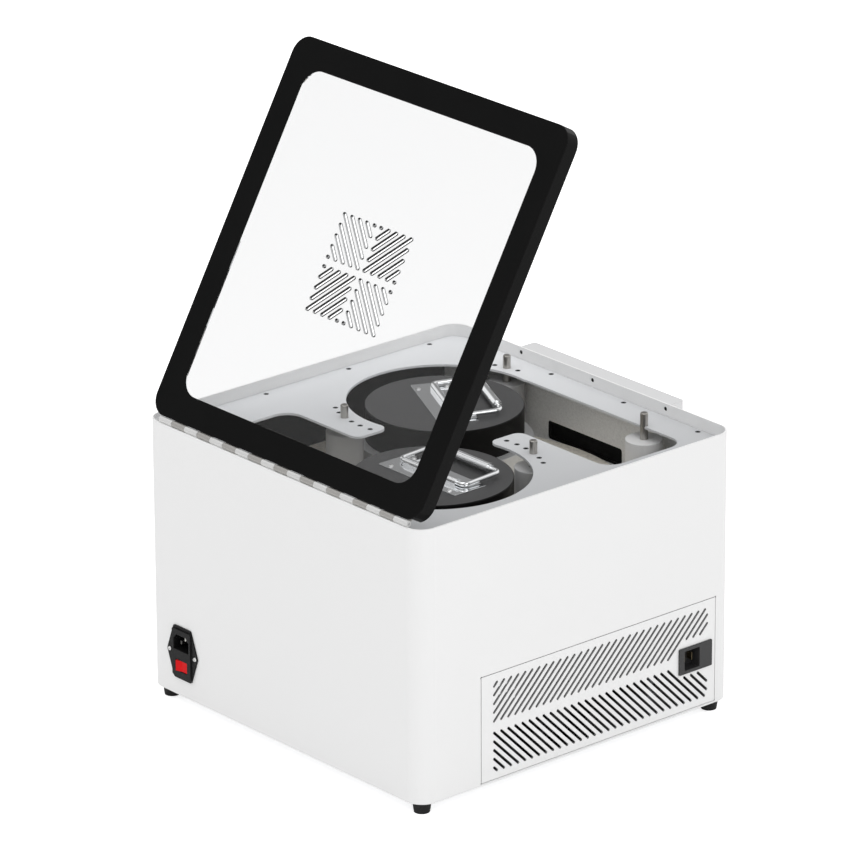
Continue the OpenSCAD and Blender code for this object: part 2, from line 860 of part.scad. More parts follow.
module support_pillars() {
    color("gainsboro") intersection() {
        rod_places() difference() {
            translate([0, 0, floor_top])
                cylinder(d = pillar_d, h = pillar_top - floor_top, $fn = round_fn);
            translate([0, 0, pillar_top - 20]) cylinder(d = rod_d + 2 * rod_clear, h = 21);
        }
        translate([0, 0, floor_top - 1])
            rounded_block(chamber_w - 0.8, chamber_d - 0.8, deck_top - floor_top, liner_r - liner_t);
    }
}

module locating_rods() {
    rod_foot = pillar_top - 20;
    color("silver") rod_places() {
        translate([0, 0, rod_foot]) cylinder(d = rod_d, h = rod_top - rod_foot - 0.8);
        translate([0, 0, rod_top - 0.8 - eps]) cylinder(d1 = rod_d, d2 = rod_d - 1.6, h = 0.8 + eps);
    }
}

// ---- covers and their handles ----

module cover() {
    edge = 0.8;
    difference() {
        union() {
            translate([0, 0, block_top + cover_seat])
                cylinder(d = cover_d, h = cover_h - cover_seat - edge, $fn = round_fn);
            translate([0, 0, cover_top - edge - eps])
                cylinder(d1 = cover_d, d2 = cover_d - 2 * edge, h = edge + eps, $fn = round_fn);
        }
        translate([0, 0, block_top - 1])
            cylinder(d = cover_d - 2 * cover_wall, h = cover_h - cover_top_t + 1, $fn = round_fn);
        handle_screw_places() translate([0, 0, cover_top - handle_screw_grip])
            cylinder(d = handle_screw_shank_d + 0.1, h = handle_screw_grip + 1);
    }
}

module cover_a() {
    color([0.2, 0.2, 0.21]) block_place() rotate(handle_turn_a) cover();
}

module cover_b() {
    color([0.2, 0.2, 0.21]) rotate(180) block_place() rotate(180 + handle_turn_b) cover();
}

module handle_a_place() {
    block_place() rotate(handle_turn_a) translate([0, 0, cover_top]) children();
}

module handle_b_place() {
    rotate(180) block_place() rotate(180 + handle_turn_b) translate([0, 0, cover_top]) children();
}

module handle_screw_places() {
    corners(handle_screw_w / 2, handle_screw_d / 2) children();
}

module handle_plate() {
    difference() {
        union() {
            rounded_block(plate_w, plate_d, plate_t, 1);
            translate([0, 0, bail_pivot_z]) rotate([0, 90, 0])
                cylinder(d = bead_d, h = bead_l, center = true);
            translate([-bead_l / 2, -bead_d / 2, 0]) cube([bead_l, bead_d, bail_pivot_z]);
        }
        translate([0, 0, bail_pivot_z]) rotate([0, 90, 0])
            cylinder(d = bail_d + 2 * bail_clear, h = bead_l + 2, center = true);
        handle_screw_places() translate([0, 0, -1])
            cylinder(d = handle_screw_shank_d + 0.4, h = plate_t + 2);
        translate([-plate_w / 2, -plate_d / 2, -bead_d]) cube([plate_w, plate_d, bead_d]);
    }
}

module handle_plate_a() {
    color("silver") handle_a_place() handle_plate();
}

module handle_plate_b() {
    color("silver") handle_b_place() handle_plate();
}

module handle_screws() {
    handle_screw_places() {
        translate([0, 0, -handle_screw_grip + 0.5])
            cylinder(d = handle_screw_shank_d, h = handle_screw_grip + plate_t);
        difference() {
            translate([0, 0, plate_t])
                cylinder(d1 = handle_screw_head_d, d2 = handle_screw_head_d - 1.6, h = 1.4);
            translate([-handle_screw_head_d / 2, -0.4, plate_t + 0.8]) cube([handle_screw_head_d, 0.8, 1]);
        }
    }
}

module handle_screws_a() {
    color("silver") handle_a_place() handle_screws();
}

module handle_screws_b() {
    color("silver") handle_b_place() handle_screws();
}

// the bail's own frame: X along its pivot, -Y towards the grip
module bail_place() {
    translate([0, 0, bail_pivot_z]) rotate([-bail_rest, 0, 0]) children();
}

module wire(l) {
    cylinder(d = bail_d, h = l, center = true);
}

module bail() {
    bend = bail_bend_r;
    for (y = [0, -bail_reach]) translate([0, y, 0]) rotate([0, 90, 0]) wire(bail_w - 2 * bend);
    for (s = [-1, 1]) {
        translate([s * bail_w / 2, -bail_reach / 2, 0]) rotate([90, 0, 0]) wire(bail_reach - 2 * bend);
        for (y = [-bend, bend - bail_reach])
            translate([s * (bail_w / 2 - bend), y, 0])
                rotate(s > 0 ? (y == -bend ? 0 : 270) : (y == -bend ? 90 : 180))
                    rotate_extrude(angle = 90, $fn = round_fn) translate([bend, 0])
                        circle(d = bail_d, $fn = 32);
    }
}

module bail_a() {
    color("silver") handle_a_place() bail_place() bail();
}

module bail_b() {
    color("silver") handle_b_place() bail_place() bail();
}

module bail_grip() {
    collar_l = 4;
    translate([0, -bail_reach, 0]) rotate([0, 90, 0]) difference() {
        union() {
            cylinder(d = grip_d, h = grip_l - 2 * collar_l, center = true);
            cylinder(d = grip_d - 2.4, h = grip_l, center = true);
        }
        cylinder(d = bail_d + 2 * pin_clear, h = grip_l + 2, center = true);
    }
}

module bail_grip_a() {
    color("gainsboro") handle_a_place() bail_place() bail_grip();
}

module bail_grip_b() {
    color("gainsboro") handle_b_place() bail_place() bail_grip();
}

// ---- mains inlet ----

// places children on the rear wall: X to the right seen from behind, Y up, Z out of the wall
module on_inlet() {
    translate([inlet_x, inlet_y, inlet_cz]) rotate([90, 0, 180]) children();
}

module inlet_screw_places() {
    for (s = [-1, 1]) translate([s * inlet_screw_pitch / 2, 0, 0]) children();
}

module inlet_flange_outline() {
    r = 3;
    hull() {
        for (s = [-1, 1]) {
            translate([s * (inlet_w / 2 - r), 0]) circle(r);
            for (t = [-1, 1]) translate([s * (inlet_edge_w / 2 - r), t * (inlet_h / 2 - r)]) circle(r);
        }
    }
}

module plug_outline(grow) {
    w = plug_w / 2 + grow;
    h = plug_h / 2 + grow;
    c = plug_chamfer;
    polygon([[-w, -h], [w, -h], [w, h - c], [w - c, h], [c - w, h], [-w, h - c]]);
}

module inlet_body() {
    color([0.13, 0.13, 0.14]) on_inlet() difference() {
        union() {
            linear_extrude(inlet_flange_t) inlet_flange_outline();
            rounded_block(inlet_edge_w, inlet_block_h, inlet_face, 2);
            translate([0, 0, -inlet_body_depth])
                rounded_block(inlet_body_w, inlet_body_h, inlet_body_depth + eps, 1.5);
        }
        translate([0, plug_lift, inlet_face - plug_depth]) linear_extrude(plug_depth + 1) plug_outline(0);
        translate([0, -rocker_drop, inlet_face - rocker_depth])
            rounded_block(rocker_w + 2 * rocker_edge, rocker_h + 2 * clear, rocker_depth + 1, 0.5);
        translate([0, -rocker_drop, inlet_face - rocker_pivot]) rotate([90, 0, 0])
            cylinder(d = rocker_pin_d + 2 * pin_clear, h = rocker_h + 4.4, center = true);
        inlet_screw_places() translate([0, 0, -1]) cylinder(d = 3.4, h = inlet_flange_t + 2);
    }
}

module inlet_pins() {
    base = inlet_face - plug_depth;
    color("silver") on_inlet() translate([0, plug_lift, base]) {
        for (s = [-1, 1]) translate([s * 7 - 1, -4.5, 0]) cube([2, 4, pin_reach]);
        translate([-1, 1, 0]) cube([2, 4, pin_reach]);
    }
}

module inlet_screws() {
    color("gainsboro") on_inlet() inlet_screw_places() difference() {
        union() {
            translate([0, 0, -wall - 3]) cylinder(d = 3, h = wall + 3 + inlet_flange_t);
            translate([0, 0, inlet_flange_t])
                cylinder(d1 = inlet_screw_head_d, d2 = inlet_screw_head_d - 1.2, h = inlet_screw_head_h);
            translate([0, 0, -wall - 2.4]) cylinder(d = 5.5, h = 2.4, $fn = 6);
        }
        for (t = [0, 90]) rotate(t) translate([-1.2, -0.3, inlet_flange_t + 0.4]) cube([2.4, 0.6, 2]);
    }
}

// the rocker tips about an upright axle, one end proud at a time
module inlet_rocker() {
    half = rocker_w / 2;
    color("red") on_inlet() translate([0, -rocker_drop, inlet_face - rocker_pivot])
        rotate([0, rocker_tilt, 0]) rotate([90, 0, 0]) {
            translate([0, 0, -rocker_h / 2]) linear_extrude(rocker_h) difference() {
                polygon([[-half, -1], [-half, rocker_pivot + 0.6], [0, rocker_pivot - 0.6],
                    [half, rocker_pivot + 0.6], [half, -1], [2, -7], [-2, -7]]);
            }
            cylinder(d = rocker_pin_d, h = rocker_h + 4, center = true);
        }
}

// ---- vent panel and side socket ----

module panel_stud_places() {
    for (u = [stud_inset, panel_l - stud_inset], v = [0.2, 0.8]) translate([u, v * panel_h, 0]) children();
}

// a slot with round ends from one point to another
module slit(a, b, w) {
    d = b - a;
    translate(a) circle(d = w, $fn = 16);
    translate(b) circle(d = w, $fn = 16);
    if (norm(d) > 0)
        translate((a + b) / 2) rotate(atan2(d[1], d[0])) square([norm(d), w], center = true);
}

// one zone of parallel slots at 45 degrees, rising (side 1) or falling (side -1) along the panel;
// slots stop at the zone's edges, and those beside the socket start clear of it
module slit_zone(low, side) {
    high = low + zone_h;
    stop = panel_l - zone_front;
    skip = side > 0 ? keep_high - low : high - keep_low;
    for (k = [-floor(zone_h / slit_pitch) : floor((stop - zone_rear) / slit_pitch)]) {
        u0 = zone_rear + k * slit_pitch;
        from = max(zone_rear, u0 > keep_rear ? u0 + skip : u0);
        to = min(stop, u0 + zone_h);
        if (to - from > slit_min)
            slit([from, side > 0 ? low + from - u0 : high - from + u0],
                [to, side > 0 ? low + to - u0 : high - to + u0], slit_w);
    }
}

module vent_panel() {
    color("white") on_panel() difference() {
        union() {
            translate([0, 0, -wall]) linear_extrude(wall) panel_rect(0);
            panel_stud_places() translate([0, 0, -wall - panel_t - 4])
                cylinder(d = panel_stud_d, h = panel_t + 4 + eps);
        }
        translate([0, 0, -wall - 1]) linear_extrude(wall + 2) {
            slit_zone(zone_low, -1);
            slit_zone(zone_low + zone_h + zone_mid, 1);
            translate([socket_run, socket_rise])
                square([socket_w - 2 * socket_lip + 0.4, socket_h - 2 * socket_lip + 0.4], center = true);
        }
    }
}

module panel_nuts() {
    color("silver") on_panel() panel_stud_places() difference() {
        translate([0, 0, -wall - panel_t - 2.4]) cylinder(d = panel_stud_d + 3, h = 2.4, $fn = 6);
        translate([0, 0, -wall - panel_t - 3]) cylinder(d = panel_stud_d + 2 * pin_clear, h = 4);
    }
}

module side_socket() {
    color([0.15, 0.15, 0.16]) on_panel() translate([socket_run, socket_rise, 0]) difference() {
        union() {
            rounded_block(socket_w, socket_h, socket_face, 1);
            translate([0, 0, -socket_depth])
                rounded_block(socket_w - 2 * socket_lip, socket_h - 2 * socket_lip, socket_depth + eps, 1);
        }
        translate([-recess_shift, 0, socket_face - recess_depth])
            rounded_block(recess_w, recess_h, recess_depth + 1, 1);
    }
}

module socket_contacts() {
    color("goldenrod") on_panel()
        translate([socket_run - recess_shift, socket_rise, socket_face - recess_depth])
            for (s = [-1, 1]) translate([s * 5 - 0.6, -4, 0]) cube([1.2, 8, 7]);
}

// ---- fan ----

// places children on the fan's axis: Z points out through the vent panel
module fan_place() {
    translate([fan_x + fan_t, fan_y, fan_z]) rotate([0, -90, 0]) children();
}

module fan_frame() {
    hole = fan_size / 2 - 4.5;
    color([0.12, 0.12, 0.12]) fan_place() difference() {
        union() {
            difference() {
                rounded_block(fan_size, fan_size, fan_t, 4);
                translate([0, 0, -1]) cylinder(r = fan_bore_r, h = fan_t + 2, $fn = round_fn);
            }
            cylinder(d = fan_hub_d - 2, h = 3);
            for (t = [45 : 90 : 315]) rotate(t) translate([fan_hub_d / 2 - 4, -2.5, 0])
                cube([fan_bore_r - fan_hub_d / 2 + 5, 5, 3]);
            cylinder(d = fan_axle_d, h = fan_t - 4);
        }
        corners(hole, hole) translate([0, 0, -1]) cylinder(d = 4.3, h = fan_t + 2);
    }
}

module fan_rotor() {
    reach = fan_bore_r - 1;
    color([0.18, 0.18, 0.18]) fan_place() difference() {
        union() {
            translate([0, 0, 4]) cylinder(d = fan_hub_d, h = fan_t - 7);
            intersection() {
                translate([0, 0, 4.5]) cylinder(r = reach, h = fan_t - 8);
                for (i = [0 : fan_blades - 1]) rotate(i * 360 / fan_blades)
                    translate([reach / 2 + fan_hub_d / 4, 0, fan_t / 2 + 0.5]) rotate([fan_blade_tilt, 0, 0])
                        cube([reach - fan_hub_d / 2 + 4, fan_blade_t, fan_t * 2], center = true);
            }
        }
        translate([0, 0, 3]) cylinder(d = fan_axle_d + 2 * pin_clear, h = fan_t - 7 + 0.6);
        translate([0, 0, 3]) cylinder(d = fan_hub_d - 6, h = 6);
    }
}

module fan_bracket() {
    x = fan_x + fan_t;
    color("silver") difference() {
        union() {
            translate([x, fan_y - fan_size / 2, base_top]) cube([bracket_t, fan_size, fan_size + 4]);
            translate([x, fan_y - fan_size / 2, base_top]) cube([bracket_foot, fan_size, bracket_t]);
        }
        translate([x - 1, fan_y, fan_z]) rotate([0, 90, 0])
            cylinder(r = fan_bore_r, h = bracket_t + 2, $fn = round_fn);
    }
}

// ---- electronics in the base ----

module power_supply() {
    w = supply_size[0];
    l = supply_size[1];
    h = supply_size[2];
    color("silver") translate([supply_at[0], supply_at[1], base_top]) difference() {
        translate([-w / 2, -l / 2, 0]) cube(supply_size);
        translate([-w / 2 + 3, -l / 2 - 1, 0.3 * h]) cube([w - 6, 0.1 * l, h]);
        for (i = [-4 : 4], j = [-6 : 6]) translate([i * w / 11, (j + 1) * l / 18, h - 1])
            cylinder(d = w / 20, h = 2, $fn = 6);
    }
}

module on_board(place) {
    translate([board_at[0] + place[0], board_at[1] + place[1], base_top + board_lift]) children();
}

module board_places() {
    on_board([0, 0]) corners(board_size[0] / 2 - board_hole_inset, board_size[1] / 2 - board_hole_inset)
        children();
}

module controller_board() {
    color("seagreen") difference() {
        union() {
            on_board(-board_size / 2) cube([board_size[0], board_size[1], board_t]);
            on_board(transformer_at) translate([0, 0, board_t / 2])
                translate([-transformer_size[0] / 2, -transformer_size[1] / 2, 0]) cube(transformer_size);
            on_board([0, -chip_size]) translate([0, 0, board_t / 2])
                cube([chip_size, chip_size, chip_t + board_t / 2]);
            for (i = [0 : 3]) on_board([1.7 * chip_size + i * capacitor_pitch, 2 * capacitor_d])
                translate([0, 0, board_t / 2]) cylinder(d = capacitor_d, h = capacitor_h);
        }
        board_places() translate([0, 0, -1]) cylinder(d = board_hole_d, h = board_t + 2);
    }
}

module board_standoffs() {
    post_w = board_hole_d * 1.9;
    color("gold") board_places() {
        translate([0, 0, -board_lift]) cylinder(d = post_w, h = board_lift, $fn = 6);
        translate([0, 0, -eps]) cylinder(d = board_hole_d - 0.2, h = board_t + 2 * eps);
        translate([0, 0, board_t]) cylinder(d = post_w - 0.6, h = board_t);
    }
}

module heater_relays() {
    color("whitesmoke") for (i = [0, 1])
        translate([relay_at[0] + i * relay_pitch, relay_at[1], base_top]) {
            translate([-relay_base[0] / 2, -relay_base[1] / 2, 0])
                cube([relay_base[0], relay_base[1], relay_base_t]);
            translate([-relay_body[0] / 2, -relay_body[1] / 2, relay_base_t - eps])
                cube([relay_body[0], relay_body[1], relay_h]);
        }
}

// ---- control box ----

module box_outline(inset) {
    w = box_w - 2 * inset;
    r = box_r - inset;
    translate([0, box_y]) {
        translate([-w / 2, -box_depth + inset + r]) square([w, box_depth - inset - r]);
        translate([-w / 2 + r, -box_depth + inset]) square([w - 2 * r, box_depth - inset]);
        for (s = [-1, 1]) translate([s * (w / 2 - r), -box_depth + inset + r]) circle(r, $fn = round_fn);
    }
}

module rim_screw_places() {
    for (i = [-1 : 1])
        translate([rim_screw_x + i * rim_screw_pitch, box_y + wall / 2, rim_z - rim_screw_drop])
            rotate([90, 0, 0]) children();
}

module control_housing() {
    bottom = box_top - box_h;
    color("gainsboro") difference() {
        union() {
            difference() {
                translate([0, 0, bottom]) linear_extrude(box_h) box_outline(0);
                translate([0, 0, bottom + box_wall]) linear_extrude(box_h - 2 * box_wall)
                    box_outline(box_wall);
            }
            intersection() {
                rim_screw_places() translate([0, 0, wall / 2]) cylinder(d = 8, h = 9);
                translate([0, 0, bottom]) linear_extrude(box_h) box_outline(0);
            }
        }
        rim_screw_places() cylinder(d = rim_screw_shank_d + 0.1, h = 9);
        translate([-fascia_w / 2 - clear, box_front - 1, box_mid_z - fascia_h / 2 - clear])
            cube([fascia_w + 2 * clear, box_wall + 2, fascia_h + 2 * clear]);
    }
}

module rim_screws() {
    color("dimgray") rim_screw_places() difference() {
        union() {
            translate([0, 0, -wall / 2 + 0.4]) cylinder(d = rim_screw_d, h = wall / 2 - 0.2);
            translate([0, 0, -wall / 2 + 0.4]) cylinder(d = rim_screw_shank_d, h = wall + 6);
        }
        translate([0, 0, -wall / 2]) cylinder(d = 2, h = 1.2, $fn = 6);
    }
}

module key_place(i) {
    translate([key_x + (i % 2) * key_pitch, 0, box_mid_z + (i < 2 ? 0.5 : -0.5) * key_pitch]) children();
}

module control_fascia() {
    back = box_front + fascia_t;
    color([0.85, 0.87, 0.9]) difference() {
        union() {
            translate([-fascia_w / 2, box_front, box_mid_z - fascia_h / 2])
                cube([fascia_w, fascia_t, fascia_h]);
            for (s = [-1, 1]) translate([s * (fascia_w / 2 - 8) - 3, back, box_mid_z - fascia_h / 2 + 4])
                cube([6, key_board_y - back, fascia_h - 8]);
        }
        translate([display_x - display_w / 2, box_front - 1, box_mid_z - display_h / 2])
            cube([display_w, fascia_t + 2, display_h]);
        for (i = [0 : 3]) key_place(i) translate([0, back + 1, 0]) rotate([90, 0, 0])
            rounded_block(key_size + 2 * key_clear, key_size + 2 * key_clear, fascia_t + 2, 2);
    }
}

module display_window() {
    color([0.05, 0.08, 0.1]) {
        translate([display_x - display_w / 2 + 0.1, box_front + 0.4, box_mid_z - display_h / 2 + 0.1])
            cube([display_w - 0.2, fascia_t - 0.4, display_h - 0.2]);
        translate([display_x - display_w / 2 - display_flange, box_front + fascia_t,
            box_mid_z - display_h / 2 - display_flange])
            cube([display_w + 2 * display_flange, key_board_y - box_front - fascia_t,
                display_h + 2 * display_flange]);
    }
}

module key_board() {
    color("seagreen") {
        translate([-fascia_w / 2 + 4, key_board_y, box_mid_z - fascia_h / 2 + 2])
            cube([fascia_w - 8, key_board_t, fascia_h - 4]);
        for (i = [0 : 3]) key_place(i) translate([0, key_board_y + eps, 0]) rotate([90, 0, 0])
            cylinder(d = 6, h = 2 - clear);
    }
}

module key(i) {
    key_place(i) translate([0, box_front, 0]) rotate([90, 0, 0]) {
        translate([0, 0, -fascia_t - eps]) rounded_block(key_size, key_size, fascia_t + key_proud + eps, 1.8);
        translate([0, 0, -fascia_t - key_flange_t - clear])
            rounded_block(key_size, key_size, key_flange_t + clear + eps, 1.8);
        translate([-key_size / 2 - key_flange, -key_size / 2, -fascia_t - key_flange_t - clear])
            cube([key_size + 2 * key_flange, key_size, key_flange_t]);
    }
}

module key_set() {
    color("dimgray") key(0);
}

module key_up() {
    color("dimgray") key(1);
}

module key_down() {
    color("dimgray") key(2);
}

module key_start() {
    color("seagreen") key(3);
}

// ---- hinge and lid ----

function knuckle_start(i) = -hinge_l / 2 + i * knuckle_l + knuckle_gap / 2;

module knuckle(i) {
    translate([knuckle_start(i), 0, 0]) rotate([0, 90, 0])
        cylinder(d = knuckle_d, h = knuckle_l - knuckle_gap);
}

module pin_bore() {
    rotate([0, 90, 0]) cylinder(d = pin_d + 2 * pin_clear, h = hinge_l + 2, center = true);
}

module hinge_body_leaf() {
    back = cabinet_d / 2 - wall - hinge_y;
    color("silver") translate([hinge_shift, hinge_y, hinge_z]) difference() {
        union() {
            translate([-leaf_half, back - leaf_t, rim_z - leaf_drop - hinge_z])
                cube([2 * leaf_half, leaf_t, leaf_drop - clear]);
            for (i = [0 : 2 : knuckle_n - 1]) {
                from = max(knuckle_start(i), -leaf_half);
                to = min(knuckle_start(i) + knuckle_l - knuckle_gap, leaf_half);
                knuckle(i);
                translate([from, back - leaf_t, rim_z - leaf_drop - hinge_z])
                    cube([to - from, leaf_t, leaf_drop + knuckle_d / 2 - pin_d / 2 - 0.4]);
            }
        }
        pin_bore();
    }
}

// the lid's own frame: the hinge axis is its X axis and the closed lid runs towards -Y
module lid_place() {
    translate([0, hinge_y, hinge_z]) rotate([-lid_open, 0, 0]) children();
}

module hinge_lid_leaf() {
    color("dimgray") lid_place() translate([hinge_shift, 0, 0]) difference() {
        union() {
            translate([-hinge_l / 2, -leaf_w, leaf_under])
                cube([hinge_l, leaf_w - knuckle_d / 2 - 0.3, leaf_t]);
            for (i = [1 : 2 : knuckle_n - 2]) {
                knuckle(i);
                translate([knuckle_start(i), -leaf_w, leaf_under])
                    cube([knuckle_l - knuckle_gap, leaf_w - pin_d / 2 - 0.4, leaf_t]);
            }
        }
        pin_bore();
    }
}

module hinge_pin() {
    color("dimgray") translate([hinge_shift, hinge_y, hinge_z]) rotate([0, 90, 0])
        cylinder(d = pin_d, h = hinge_l, center = true);
}

// a rounded rectangle between two distances from the hinge
module lid_outline(half, s0, s1, r) {
    translate([0, -(s0 + s1) / 2]) rounded_rect(2 * half, s1 - s0, r);
}

module lid_frame() {
    outer = lid_w / 2;
    hinge_half = hinge_l / 2 + abs(hinge_shift) + 1;
    color([0.1, 0.1, 0.1]) lid_place() difference() {
        union() {
            translate([0, 0, frame_under]) linear_extrude(lid_t)
                lid_outline(outer, lid_rear, lid_reach, lid_r);
            translate([0, 0, lid_top - lid_skirt]) linear_extrude(lid_skirt) difference() {
                lid_outline(outer, lid_rear, lid_reach, lid_r);
                lid_outline(outer - lid_t, lid_rear + lid_t, lid_reach - lid_t, lid_r - lid_t);
                translate([-hinge_half, -lid_rear - lid_r]) square([2 * hinge_half, 2 * lid_r]);
            }
        }
        translate([window_shift, 0, frame_under - 1]) linear_extrude(lid_t + 2)
            lid_outline(window_x, window_s0, window_s1, window_r);
    }
}

// four groups of slots that mirror each other about the middle of the pattern
module window_vents() {
    span = vent_steps * vent_pitch;
    translate([vent_x, -vent_s]) for (mx = [0, 1], my = [0, 1]) mirror([mx, 0]) mirror([0, my])
        translate([vent_gap, vent_gap]) for (k = [-vent_steps : vent_steps])
            slit([max(0, k) * vent_pitch, max(0, -k) * vent_pitch],
                [span + min(0, k) * vent_pitch, span + min(0, -k) * vent_pitch], vent_w);
}

module lid_window() {
    fit = 0.1;
    color([0.85, 0.88, 0.9, 0.35]) lid_place() difference() {
        union() {
            translate([window_shift, 0, frame_under - eps]) linear_extrude(lid_t + eps)
                lid_outline(window_x - fit, window_s0 + fit, window_s1 - fit, window_r - fit);
            translate([window_shift, 0, window_under]) linear_extrude(flange_t)
                lid_outline(window_x + flange_w, window_s0 - flange_w, window_s1 + flange_w,
                    window_r + flange_w);
        }
        translate([0, 0, window_under - 1]) linear_extrude(lid_t + flange_t + 2) window_vents();
    }
}

module lid_studs() {
    color([0.1, 0.1, 0.1]) lid_place() for (s = [-1, 1])
        translate([s * (lid_w / 2 - lid_t), -stud_s, stud_z]) rotate([0, -s * 90, 0]) {
            cylinder(d = stud_d - 1, h = stud_l);
            cylinder(d = stud_d, h = 2);
            translate([0, 0, stud_l - 4]) cylinder(d = stud_d, h = 4);
        }
}

cabinet_shell();
base_plate();
feet();
foot_screws();
deck_rails();
deck_plate();
deck_screws();
chamber_liner();
chamber_floor();
chamber_posts();
wall_foam();
duct_foam();
insulation_disc();
heater_mats();
heating_block_a();
heating_block_b();
temperature_probes();
support_pillars();
locating_rods();
cover_a();
cover_b();
handle_plate_a();
handle_plate_b();
handle_screws_a();
handle_screws_b();
bail_a();
bail_b();
bail_grip_a();
bail_grip_b();
inlet_body();
inlet_pins();
inlet_screws();
inlet_rocker();
vent_panel();
panel_nuts();
side_socket();
socket_contacts();
fan_frame();
fan_rotor();
fan_bracket();
power_supply();
controller_board();
board_standoffs();
heater_relays();
control_housing();
control_fascia();
display_window();
key_board();
key_set();
key_up();
key_down();
key_start();
rim_screws();
hinge_body_leaf();
hinge_lid_leaf();
hinge_pin();
lid_frame();
lid_window();
lid_studs();
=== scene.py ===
"""Looks of the dry block heater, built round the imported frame. Metres, Z up, -Y is the front."""
import json
import math

import bpy
from mathutils import Matrix, Vector

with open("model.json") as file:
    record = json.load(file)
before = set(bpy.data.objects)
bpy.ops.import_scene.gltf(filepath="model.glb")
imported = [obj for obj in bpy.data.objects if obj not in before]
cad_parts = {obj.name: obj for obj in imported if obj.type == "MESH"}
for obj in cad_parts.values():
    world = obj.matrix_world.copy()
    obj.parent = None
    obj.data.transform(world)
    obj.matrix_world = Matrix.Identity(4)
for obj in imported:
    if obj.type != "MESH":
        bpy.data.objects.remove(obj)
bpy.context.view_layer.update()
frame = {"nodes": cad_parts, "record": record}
nodes = frame["nodes"]
scene = bpy.context.scene

# ---- camera -------------------------------------------------------------------------------

AZIMUTH, ELEVATION, ROLL = (math.radians(a) for a in (-130.79, 20.99, -0.264))
CAMERA_PLACE = (-4.68276, 4.05871, 2.67603)
FOCAL_PIXELS = 6663
IMAGE_PIXELS = 850
SENSOR_MM = 36


def make_camera():
    back = Vector((math.sin(AZIMUTH) * math.cos(ELEVATION), -math.cos(AZIMUTH) * math.cos(ELEVATION),
                   math.sin(ELEVATION)))
    right = Vector((math.cos(AZIMUTH), math.sin(AZIMUTH), 0))
    up = back.cross(right)
    across = math.cos(ROLL) * right + math.sin(ROLL) * up
    above = -math.sin(ROLL) * right + math.cos(ROLL) * up
    data = bpy.data.cameras.new("camera")
    data.sensor_width = SENSOR_MM
    data.lens = FOCAL_PIXELS / IMAGE_PIXELS * SENSOR_MM
    data.clip_start, data.clip_end = 0.5, 60
    camera = bpy.data.objects.new("camera", data)
    scene.collection.objects.link(camera)
    camera.matrix_world = Matrix((
        (across.x, above.x, back.x, CAMERA_PLACE[0]),
        (across.y, above.y, back.y, CAMERA_PLACE[1]),
        (across.z, above.z, back.z, CAMERA_PLACE[2]),
        (0, 0, 0, 1)))
    scene.camera = camera


make_camera()
scene.view_settings.view_transform = "Standard"

# ---- materials ----------------------------------------------------------------------------


class Nodes:
    """A short way to add and join shader nodes."""

    def __init__(self, tree):
        self.tree = tree

    def add(self, kind, inputs=None, **settings):
        node = self.tree.nodes.new(kind)
        for key, value in settings.items():
            setattr(node, key, value)
        for key, value in (inputs or {}).items():
            socket = node.inputs[key]
            if isinstance(value, bpy.types.NodeSocket):
                self.tree.links.new(value, socket)
            else:
                socket.default_value = value
        return node

    def math(self, operation, a, b=0.0):
        return self.add("ShaderNodeMath", {0: a, 1: b}, operation=operation).outputs[0]

    def ramp(self, value, stops):
        node = self.add("ShaderNodeValToRGB", {0: value})
        elements = node.color_ramp.elements
        while len(elements) < len(stops):
            elements.new(0.5)
        for element, (place, colour) in zip(elements, stops):
            element.position = place
            element.color = (*colour, 1) if len(colour) == 3 else colour
        return node.outputs[0]


def rgb(colour, factor=1.0):
    return tuple(min(1.0, c * factor) for c in colour[:3]) + (1,)


